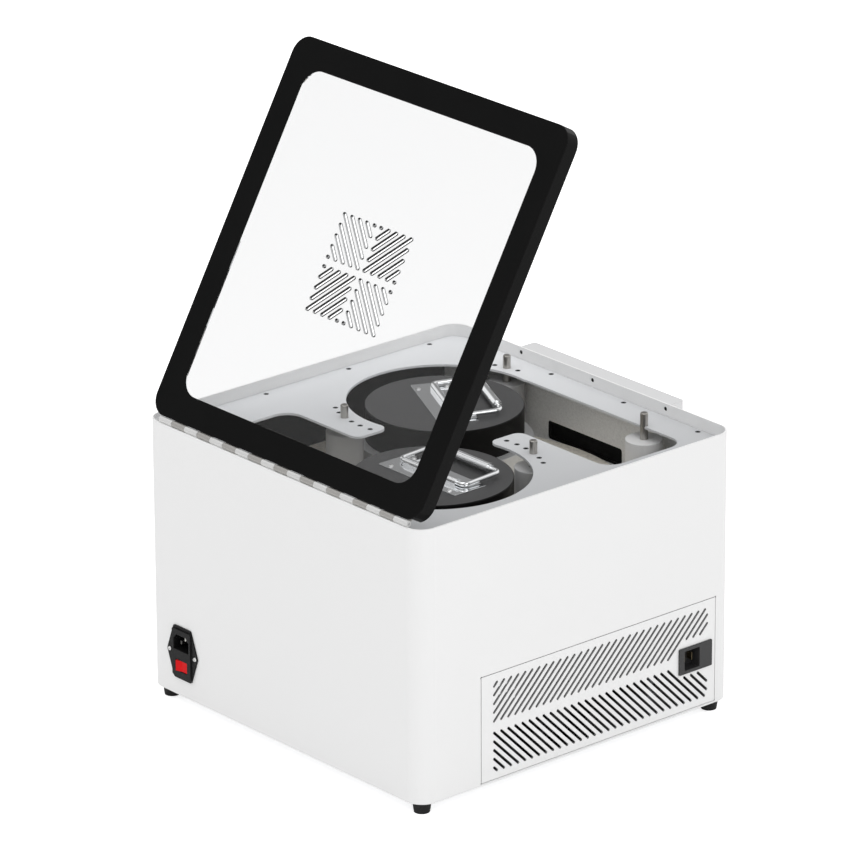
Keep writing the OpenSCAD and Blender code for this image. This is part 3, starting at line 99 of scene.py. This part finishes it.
def surface(name, colour, roughness, metallic=0.0, specular=0.5, grain=0.0, grain_size=0.001, cloud=0.02,
            cloud_size=0.08, rough_swing=0.0, coat=0.0, coat_roughness=0.1, edge=0.0, painted_light_slope=0.0):
    """A principled material whose colour, gloss and height all vary a little, at the scales named.

    grain is the height of the fine texture in metres, edge the radius that the sharp edges are shaded
    with; the last argument sets how much lighter the colour gets in each metre of X, a painted gradient of
    light and shade."""
    material = bpy.data.materials.new(name)
    material.use_nodes = True
    n = Nodes(material.node_tree)
    shader = material.node_tree.nodes["Principled BSDF"]
    shader.inputs["Metallic"].default_value = metallic
    shader.inputs["Specular IOR Level"].default_value = specular
    shader.inputs["Coat Weight"].default_value = coat
    shader.inputs["Coat Roughness"].default_value = coat_roughness
    place = n.add("ShaderNodeTexCoord").outputs["Object"]
    clouds = n.add("ShaderNodeTexNoise", {"Vector": place, "Scale": 1 / cloud_size, "Detail": 4.0,
                                          "Roughness": 0.6}).outputs[0]
    fine = n.add("ShaderNodeTexNoise", {"Vector": place, "Scale": 1 / grain_size, "Detail": 3.0,
                                        "Roughness": 0.7}).outputs[0]
    mixed = n.math("ADD", n.math("MULTIPLY", clouds, 0.6), n.math("MULTIPLY", fine, 0.4))
    tint = n.ramp(mixed, [(0.3, rgb(colour, 1 - cloud)), (0.7, rgb(colour, 1 + cloud))])
    # painted light and shade: the colour grows lighter or darker along X in place of the fall of light
    if painted_light_slope:
        across = n.add("ShaderNodeSeparateXYZ", {0: place}).outputs[0]
        light = n.math("ADD", n.math("MULTIPLY", across, painted_light_slope), 1.0)
        tint = n.add("ShaderNodeVectorMath", {0: tint, "Scale": light}, operation="SCALE").outputs[0]
    n.tree.links.new(tint, shader.inputs["Base Color"])
    if rough_swing:
        gloss = n.add("ShaderNodeMapRange", {0: mixed, 1: 0.3, 2: 0.7, 3: roughness - rough_swing,
                                             4: roughness + rough_swing}).outputs[0]
        n.tree.links.new(gloss, shader.inputs["Roughness"])
    else:
        shader.inputs["Roughness"].default_value = roughness
    normal = n.add("ShaderNodeBevel", {"Radius": edge}, samples=6).outputs[0] if edge else None
    if grain:
        bump = n.add("ShaderNodeBump", {"Height": fine, "Strength": 1.0, "Distance": grain})
        if normal:
            n.tree.links.new(normal, bump.inputs["Normal"])
        normal = bump.outputs[0]
    if normal:
        n.tree.links.new(normal, shader.inputs["Normal"])
        if coat:
            n.tree.links.new(normal, shader.inputs["Coat Normal"])
    return material


def clear_plastic(name, tint, roughness):
    """Acrylic that bends what is seen through it and lets the lamps through."""
    material = bpy.data.materials.new(name)
    material.use_nodes = True
    n = Nodes(material.node_tree)
    shader = material.node_tree.nodes["Principled BSDF"]
    shader.inputs["Base Color"].default_value = tint
    shader.inputs["Transmission Weight"].default_value = 1.0
    shader.inputs["IOR"].default_value = 1.49
    place = n.add("ShaderNodeTexCoord").outputs["Object"]
    haze = n.add("ShaderNodeTexNoise", {"Vector": place, "Scale": 30.0, "Detail": 3.0}).outputs[0]
    gloss = n.add("ShaderNodeMapRange", {0: haze, 1: 0.45, 2: 0.75, 3: roughness, 4: roughness + 0.001})
    n.tree.links.new(gloss.outputs[0], shader.inputs["Roughness"])
    path = n.add("ShaderNodeLightPath").outputs
    through = n.math("MAXIMUM", path["Is Shadow Ray"], path["Is Diffuse Ray"])
    open_way = n.add("ShaderNodeBsdfTransparent", {"Color": (0.84, 0.845, 0.85, 1)}).outputs[0]
    mixed = n.add("ShaderNodeMixShader", {0: through, 1: shader.outputs[0], 2: open_way}).outputs[0]
    n.tree.links.new(mixed, material.node_tree.nodes["Material Output"].inputs["Surface"])
    return material


LOOKS = {
    "cabinet_white": surface("cabinet_white", (0.84, 0.84, 0.84), 0.42, grain=0.000008, grain_size=0.0012,
                             cloud=0.006, rough_swing=0.04, edge=0.0009),
    # painted light: a brighter copy of the cabinet white for its up-facing rim faces
    "rim_painted_light": surface("rim_painted_light", (0.94, 0.94, 0.94), 0.4, grain=0.000008, grain_size=0.0012,
                         cloud=0.006, rough_swing=0.04, edge=0.0009),
    # painted shade: the vent slots' walls are grey so the slits read dark
    "vent_slot_painted_shade": surface("vent_slot_painted_shade", (0.36, 0.36, 0.36), 0.5, grain=0.000008, cloud=0.05),
    "socket_black": surface("socket_black", (0.03, 0.03, 0.031), 0.4, specular=0.4, grain=0.00001,
                            grain_size=0.0006, cloud=0.1, edge=0.0007),
    "zinc_sheet": surface("zinc_sheet", (0.55, 0.56, 0.58), 0.38, metallic=0.9, grain=0.00001, cloud=0.12,
                          cloud_size=0.02, rough_swing=0.1, edge=0.0004),
    "foot_black": surface("foot_black", (0.012, 0.012, 0.012), 0.6, specular=0.25, grain=0.00003,
                          grain_size=0.0008, cloud=0.15, edge=0.0008),
    "screw_steel": surface("screw_steel", (0.72, 0.72, 0.72), 0.3, metallic=1.0, grain=0.000004,
                           cloud=0.06, cloud_size=0.004, rough_swing=0.06, edge=0.0002),
    "screw_black": surface("screw_black", (0.03, 0.03, 0.03), 0.45, metallic=0.6, grain=0.00001,
                           grain_size=0.0006, cloud=0.2, cloud_size=0.004, edge=0.0002),
    # the deck is painted lighter towards +X: a painted gradient of light across it
    "deck_silver": surface("deck_silver", (0.712, 0.722, 0.737), 0.36, specular=0.5, grain=0.000006,
                           grain_size=0.0009, cloud=0.01, rough_swing=0.05, edge=0.0006, painted_light_slope=1.2),
    "liner_grey": surface("liner_grey", (0.8, 0.8, 0.79), 0.42, metallic=0.2, grain=0.00005,
                          grain_size=0.0014, cloud=0.14, cloud_size=0.0022, rough_swing=0.08, edge=0.0006),
    "foam_black": surface("foam_black", (0.014, 0.014, 0.014), 0.9, specular=0.0, grain=0.0002,
                          grain_size=0.0015, cloud=0.3, cloud_size=0.01),
    "board_tan": surface("board_tan", (0.8, 0.76, 0.68), 0.9, specular=0.15, grain=0.0002,
                         grain_size=0.0022, cloud=0.22, cloud_size=0.004),
    "heater_orange": surface("heater_orange", (0.6, 0.17, 0.04), 0.6, grain=0.00003, cloud=0.08),
    "block_aluminium": surface("block_aluminium", (0.7, 0.705, 0.71), 0.36, metallic=0.6, grain=0.000005,
                               cloud=0.04, rough_swing=0.06, edge=0.0008),
    # the pillars are painted darker towards +X: painted shadow under the deck tab and lid
    "pillar_grey": surface("pillar_grey", (0.56, 0.56, 0.56), 0.42, grain=0.00001, cloud=0.02, edge=0.002,
                           painted_light_slope=-2.6),
    "rod_steel": surface("rod_steel", (0.43, 0.415, 0.39), 0.34, metallic=1.0, grain=0.000003,
                         grain_size=0.0005, cloud=0.06, cloud_size=0.006, rough_swing=0.04, edge=0.0006),
    "cover_black": surface("cover_black", (0.006, 0.006, 0.006), 0.45, specular=0.12, grain=0.00001,
                           grain_size=0.0009, cloud=0.08, cloud_size=0.03, rough_swing=0.04, edge=0.0008),
    # painted light: a lighter copy of the cover black for the up-facing tops
    "cover_top": surface("cover_top", (0.062, 0.062, 0.063), 0.5, specular=0.42, grain=0.00001,
                         grain_size=0.0009, cloud=0.07, cloud_size=0.03, rough_swing=0.04, edge=0.0008),
    "stainless": surface("stainless", (0.83, 0.84, 0.85), 0.07, metallic=1.0, grain=0.000002,
                         grain_size=0.0008, cloud=0.03, cloud_size=0.02, rough_swing=0.02, edge=0.00035),
    "inlet_black": surface("inlet_black", (0.009, 0.009, 0.0095), 0.4, specular=0.14, grain=0.00001,
                           grain_size=0.0006, cloud=0.1, edge=0.0007),
    "pin_metal": surface("pin_metal", (0.6, 0.59, 0.56), 0.3, metallic=1.0, cloud=0.06, cloud_size=0.004),
    "rocker_red": surface("rocker_red", (0.66, 0.008, 0.01), 0.4, specular=0.08, grain=0.000008,
                          grain_size=0.0006, cloud=0.04, edge=0.0006),
    "contact_brass": surface("contact_brass", (0.16, 0.13, 0.08), 0.4, metallic=1.0, cloud=0.08,
                             cloud_size=0.004),
    "fan_black": surface("fan_black", (0.02, 0.02, 0.02), 0.45, specular=0.4, grain=0.00002, cloud=0.1,
                         edge=0.0006),
    "board_green": surface("board_green", (0.02, 0.13, 0.05), 0.35, cloud=0.12, cloud_size=0.01),
    "relay_white": surface("relay_white", (0.7, 0.69, 0.66), 0.5, grain=0.00001, cloud=0.03, edge=0.0006),
    "housing_grey": surface("housing_grey", (0.72, 0.72, 0.725), 0.42, grain=0.000008, grain_size=0.0012,
                            cloud=0.01, rough_swing=0.04, edge=0.0008),
    "fascia_light": surface("fascia_light", (0.7, 0.72, 0.74), 0.4, grain=0.000008, cloud=0.01,
                            edge=0.0006),
    "display_dark": surface("display_dark", (0.008, 0.012, 0.018), 0.12, specular=0.2, cloud=0.1,
                            coat=0.15, coat_roughness=0.03),
    "key_grey": surface("key_grey", (0.09, 0.09, 0.095), 0.45, grain=0.00001, cloud=0.05, edge=0.0008),
    "key_green": surface("key_green", (0.03, 0.26, 0.08), 0.45, grain=0.00001, cloud=0.05, edge=0.0008),
    "knuckle_light": surface("knuckle_light", (0.64, 0.64, 0.635), 0.5, metallic=0.1, grain=0.00001,
                             cloud=0.05, rough_swing=0.06, edge=0.0003),
    "knuckle_dark": surface("knuckle_dark", (0.36, 0.35, 0.335), 0.5, metallic=0.1, grain=0.00001,
                            cloud=0.08, rough_swing=0.06, edge=0.0003),
    "lid_black": surface("lid_black", (0.007, 0.007, 0.007), 0.32, specular=0.13, grain=0.00001,
                         grain_size=0.001, cloud=0.06, rough_swing=0.03, edge=0.0014),
    # painted shade: the lid black with less reflection, for its two sides
    "lid_side_painted_shade": surface("lid_side_painted_shade", (0.007, 0.007, 0.007), 0.45, specular=0.06, grain=0.00001,
                        grain_size=0.001, cloud=0.06, rough_swing=0.03, edge=0.0014),
    "lid_clear": clear_plastic("lid_clear", (0.93, 0.932, 0.934, 1), 0.0),
    # painted reflection: a dark copy for the window's slot walls that face one way
    "window_slot_painted_shade": surface("window_slot_painted_shade", (0.035, 0.036, 0.037), 0.35, grain=0.00002, grain_size=0.0006, cloud=0.2,
                       cloud_size=0.01, rough_swing=0.08),
    # painted reflection: a light copy for the window's slot walls that face the other way
    "window_slot_painted_light": surface("window_slot_painted_light", (0.5, 0.505, 0.51), 0.35, grain=0.00002, grain_size=0.0006,
                             cloud=0.2, cloud_size=0.01, rough_swing=0.08),
}

# ---- CAD nodes: their materials -------------------------------------------------------------

for row in frame["record"]["subparts"]:
    mesh = nodes[row["node"]].data
    mesh.materials.clear()
    mesh.materials.append(LOOKS["socket_black" if row["node"] == "side_socket" else row["material_slot"]])


def give_faces(name, look, wanted):
    """Give a second look to the faces of a node that wanted() picks."""
    mesh = nodes[name].data
    mesh.materials.append(LOOKS[look])
    for face in mesh.polygons:
        if wanted(face):
            face.material_index = len(mesh.materials) - 1


# the covers' tops are painted lighter than their black sides: painted light from above on one black plastic
for cover in ("cover_a", "cover_b"):
    give_faces(cover, "cover_top", lambda face: face.normal.z > 0.9)
# the lid's two sides are a duller, less reflective copy of the same black: painted shade
give_faces("lid_frame", "lid_side_painted_shade", lambda face: abs(face.normal.x) > 0.7)
# the cabinet's up-facing faces, its rim, are painted lighter than the rest: painted light from above; and
# the vent panel's punched edges are painted dark grey: painted shade in the slots
give_faces("cabinet_shell", "rim_painted_light", lambda face: face.normal.z > 0.9)
give_faces("vent_panel", "vent_slot_painted_shade", lambda face: abs(face.normal.x) < 0.5)


# how far the window's slots reach to either side of the middle
WINDOW_REACH = 0.12


def dress_window():
    """The sawn walls of the window's slots are matt, painted darker one way than the other as painted
    reflection; its faces are clear.
    """
    mesh = nodes["lid_window"].data
    mesh.materials.append(LOOKS["window_slot_painted_shade"])
    mesh.materials.append(LOOKS["window_slot_painted_light"])
    areas = {}
    for face in mesh.polygons:
        normal = face.normal if face.normal.z > 0 else -face.normal
        key = tuple(round(c, 3) for c in normal)
        areas[key] = areas.get(key, 0.0) + face.area
    across = Vector(max(areas, key=areas.get))
    up = across.cross(Vector((1, 0, 0))).normalized()
    up = up if up.z > 0 else -up
    for face in mesh.polygons:
        if abs(face.center.x) > WINDOW_REACH or abs(face.normal.dot(across)) > 0.5:
            face.material_index = 0
        else:
            # painted reflection by facing: the dark copy one way, the light copy the other
            face.material_index = 1 if face.normal.x * face.normal.dot(up) > -0.1 else 2


dress_window()

# ---- world, lamps and floor -----------------------------------------------------------------


# the way to the unlit end of the studio, which the open lid mirrors
UNLIT_END = (0.707, 0.62, 0.338)


def make_world():
    world = bpy.data.worlds.new("studio")
    scene.world = world
    world.use_nodes = True
    tree = world.node_tree
    tree.nodes.clear()
    n = Nodes(tree)
    path = n.add("ShaderNodeLightPath").outputs
    direction = n.add("ShaderNodeTexCoord").outputs["Generated"]
    parts = n.add("ShaderNodeSeparateXYZ", {0: direction}).outputs
    # what diffuse surfaces gather: nearly even, a little brighter from the vented side
    side = n.math("ADD", n.math("MULTIPLY", parts[0], -0.07), n.math("MULTIPLY", parts[1], -0.02))
    soft = n.math("ADD", side, 0.955)
    # what metal shows: white with two darker bands, as between soft boxes
    turn = n.math("ARCTAN2", parts[1], parts[0])
    wave = n.math("SINE", n.math("ADD", n.math("MULTIPLY", turn, 3.0), 0.6))
    bands = n.ramp(n.math("ADD", n.math("MULTIPLY", wave, 0.5), 0.5),
                   [(0.12, (0.3, 0.3, 0.3)), (0.45, (1.0, 1.0, 1.0))])
    # how straight each direction points to the unlit end
    towards = n.add("ShaderNodeVectorMath", {0: direction, 1: UNLIT_END},
                    operation="DOT_PRODUCT").outputs["Value"]
    dark = n.add("ShaderNodeMapRange", {0: towards, 1: 0.72, 2: 0.94, 3: 1.0, 4: 0.04}).outputs[0]
    gather = n.add("ShaderNodeBackground", {"Color": (1, 1, 1, 1), "Strength": soft}).outputs[0]
    show = n.add("ShaderNodeBackground", {"Color": bands, "Strength": dark}).outputs[0]
    # only the very middle of it is dark to what has passed through the lid window
    core = n.add("ShaderNodeMapRange", {0: towards, 1: 0.945, 2: 0.985, 3: 1.0, 4: 0.7}).outputs[0]
    plain = n.math("MAXIMUM", path["Is Camera Ray"], core)
    white = n.add("ShaderNodeBackground", {"Color": (1, 1, 1, 1), "Strength": plain}).outputs[0]
    glossy = n.add("ShaderNodeMixShader", {0: path["Is Glossy Ray"], 1: gather, 2: show}).outputs[0]
    seen = n.math("MAXIMUM", path["Is Camera Ray"], path["Is Transmission Ray"])
    out = n.add("ShaderNodeMixShader", {0: seen, 1: glossy, 2: white}).outputs[0]
    n.add("ShaderNodeOutputWorld", {"Surface": out})


def make_floor():
    mesh = bpy.data.meshes.new("floor")
    mesh.from_pydata([(-6, -6, 0), (6, -6, 0), (6, 6, 0), (-6, 6, 0)], [], [(0, 1, 2, 3)])
    floor = bpy.data.objects.new("floor", mesh)
    scene.collection.objects.link(floor)
    material = bpy.data.materials.new("floor_white")
    material.use_nodes = True
    n = Nodes(material.node_tree)
    shader = material.node_tree.nodes["Principled BSDF"]
    shader.inputs["Base Color"].default_value = (0.85, 0.85, 0.85, 1)
    shader.inputs["Roughness"].default_value = 0.9
    shader.inputs["Specular IOR Level"].default_value = 0.1
    path = n.add("ShaderNodeLightPath").outputs
    seen = n.math("MAXIMUM", n.math("MAXIMUM", path["Is Camera Ray"],
                                    n.math("MULTIPLY", path["Is Transmission Ray"], 0.12)),
                  n.math("MULTIPLY", path["Is Glossy Ray"], 0.3))
    shader.inputs["Emission Color"].default_value = (1, 1, 1, 1)
    n.tree.links.new(n.math("MULTIPLY", seen, 0.7), shader.inputs["Emission Strength"])
    mesh.materials.append(material)


LAMP_TARGET = (0, 0, 0.3)
LAMP_SIZE = 1.6


def make_lamp(name, place, power):
    data = bpy.data.lights.new(name, "AREA")
    data.energy = power
    data.shape = "RECTANGLE"
    data.size = LAMP_SIZE
    data.size_y = LAMP_SIZE
    lamp = bpy.data.objects.new(name, data)
    scene.collection.objects.link(lamp)
    lamp.location = place
    lamp.rotation_mode = "QUATERNION"
    lamp.rotation_quaternion = (Vector(LAMP_TARGET) - Vector(place)).to_track_quat("-Z", "Y")


make_world()
make_floor()
make_lamp("lamp_side", (-2.6, 0.6, 2.2), 10)
make_lamp("lamp_top", (0.4, 0.8, 3.0), 10)
